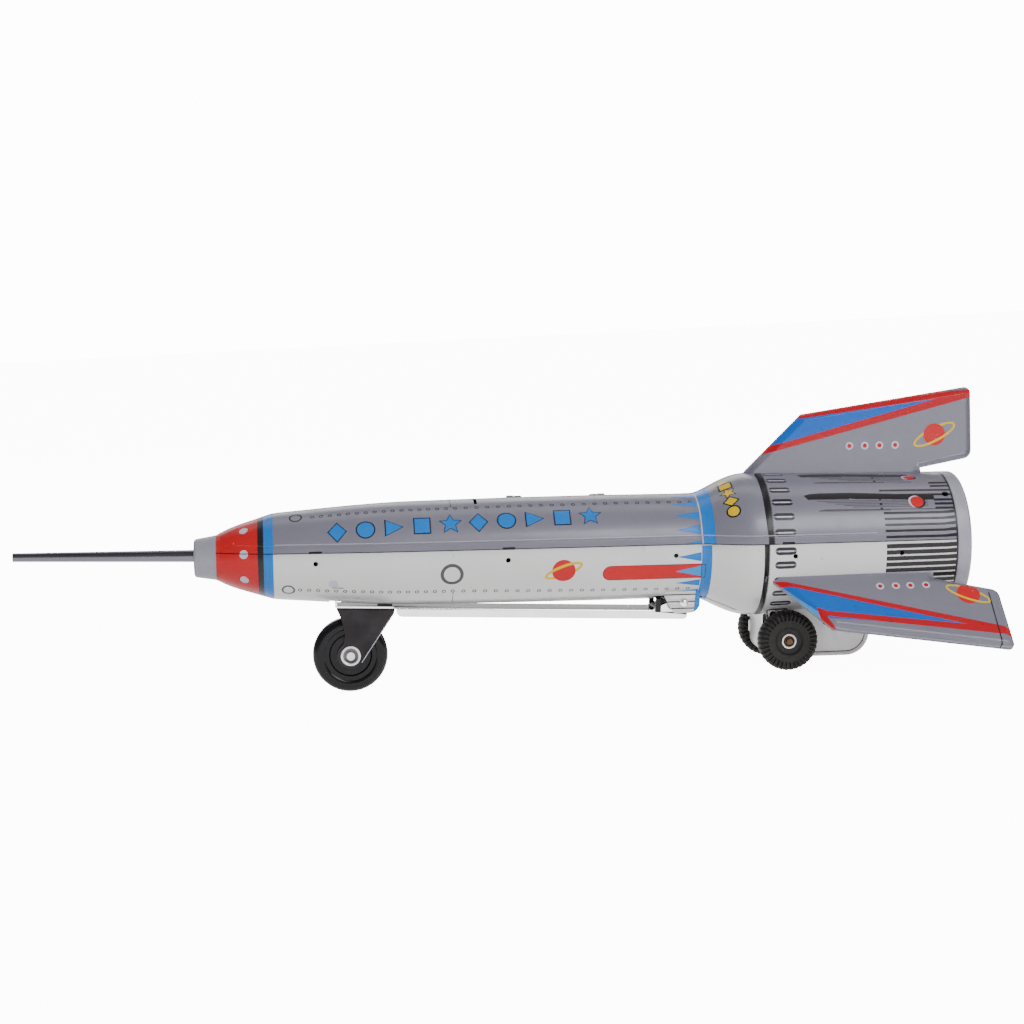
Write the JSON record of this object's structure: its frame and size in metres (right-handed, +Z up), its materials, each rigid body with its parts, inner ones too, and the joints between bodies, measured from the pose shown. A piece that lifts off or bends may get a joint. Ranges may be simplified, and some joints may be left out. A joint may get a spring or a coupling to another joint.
{
  "type": "tin space rocket",
  "caption": "Friction-driven tin rocket on wheels, with a push probe in its nose that frees a folding front leg, fins to stand on and a hinged hatch.",
  "frame": {"origin": "on the floor, under the middle of the rocket's bounding box", "axes": "+Z up, -X towards the nose, +Y to the rocket's right-hand side; the body's axis leans 2 degrees nose up"},
  "size_m": [0.3826, 0.1018, 0.1069],
  "materials": {
    "tin_silver": "gloss lithographed tin",
    "tin_pale": "gloss lithographed tin",
    "grey_plastic": "satin moulded plastic",
    "chrome": "bright plated, scuffed",
    "steel": "drawn steel",
    "spring_steel": "hard drawn wire",
    "black_finish": "blackened",
    "black_plastic": "gloss moulded plastic",
    "tyre_rubber": "matt moulded rubber",
    "pad_rubber": "matt",
    "brass": "turned"
  },
  "bodies": {
    "rocket_body": {"upper_body_shell": "tin_silver", "lower_body_shell": "tin_pale", "nose_cap": "grey_plastic", "tail_cap": "grey_plastic", "top_fin": "tin_silver", "left_fin": "tin_silver", "right_fin": "tin_silver", "probe_guide": "steel", "latch_bracket": "steel", "latch_pin": "steel", "arm_pivot_pin": "steel", "arm_stop": "pad_rubber", "hatch_pins": "steel", "motor_left_plate": "tin_pale", "motor_right_plate": "tin_pale", "motor_cover": "steel", "motor_spacers": "steel", "axle_bushes": "brass", "probe_spring": "spring_steel"},
    "probe": {"nose_probe": "steel", "probe_rod": "steel"},
    "latch": {"latch_lever": "steel"},
    "hatch": {"hatch_door": "tin_silver"},
    "leg": {"swing_arm": "chrome", "wheel_bracket": "chrome", "front_axle": "steel", "axle_washers": "steel", "arm_spring": "black_finish"},
    "front_wheel": {"front_wheel": "black_plastic"},
    "rear_wheels": {"rear_axle": "steel", "left_tyre": "tyre_rubber", "right_tyre": "tyre_rubber", "hub_eyelets": "brass", "axle_gear": "brass"},
    "idler": {"idler_shaft": "steel", "idler_gear": "brass", "idler_pinion": "brass"},
    "flywheel": {"flywheel_shaft": "steel", "flywheel": "steel", "flywheel_pinion": "brass"}
  },
  "joints": [
    {"name": "probe_slide", "type": "slide", "parent": "rocket_body", "child": "probe", "axis": [0.9986, 0, -0.0523], "range_m": [0, 0.006], "stiffness_N_per_m": 150, "springref_m": -0.004, "deforming": ["probe_spring"]},
    {"name": "latch_turn", "type": "hinge", "parent": "rocket_body", "child": "latch", "pos_m": [-0.07567, 0, 0.04596], "axis": [0, 1, 0], "range_deg": [0, 35]},
    {"name": "hatch_swing", "type": "hinge", "parent": "rocket_body", "child": "hatch", "pos_m": [0.02229, 0.00893, 0.07161], "axis": [0.9994, 0, -0.0349], "range_deg": [0, 100]},
    {"name": "leg_swing", "type": "hinge", "parent": "rocket_body", "child": "leg", "pos_m": [0.06882, 0, 0.02861], "axis": [0, -1, 0], "range_deg": [0, 130]},
    {"name": "front_wheel_spin", "type": "hinge", "parent": "leg", "child": "front_wheel", "pos_m": [-0.06325, 0, 0.0148], "axis": [0, 1, 0], "continuous": true},
    {"name": "rear_axle_spin", "type": "hinge", "parent": "rocket_body", "child": "rear_wheels", "pos_m": [0.10855, 0, 0.01184], "axis": [0, 1, 0], "continuous": true},
    {"name": "idler_spin", "type": "hinge", "parent": "rocket_body", "child": "idler", "pos_m": [0.1159, 0, 0.01718], "axis": [0, 1, 0], "continuous": true},
    {"name": "flywheel_spin", "type": "hinge", "parent": "rocket_body", "child": "flywheel", "pos_m": [0.12548, 0, 0.01684], "axis": [0, 1, 0], "continuous": true}
  ],
  "couplings": [
    {"joint": "latch_turn", "follows": "probe_slide", "rad_per_m": 101.8},
    {"joint": "rear_axle_spin", "follows": "flywheel_spin", "ratio": 0.17857},
    {"joint": "idler_spin", "follows": "flywheel_spin", "ratio": -0.35714}
  ]
}
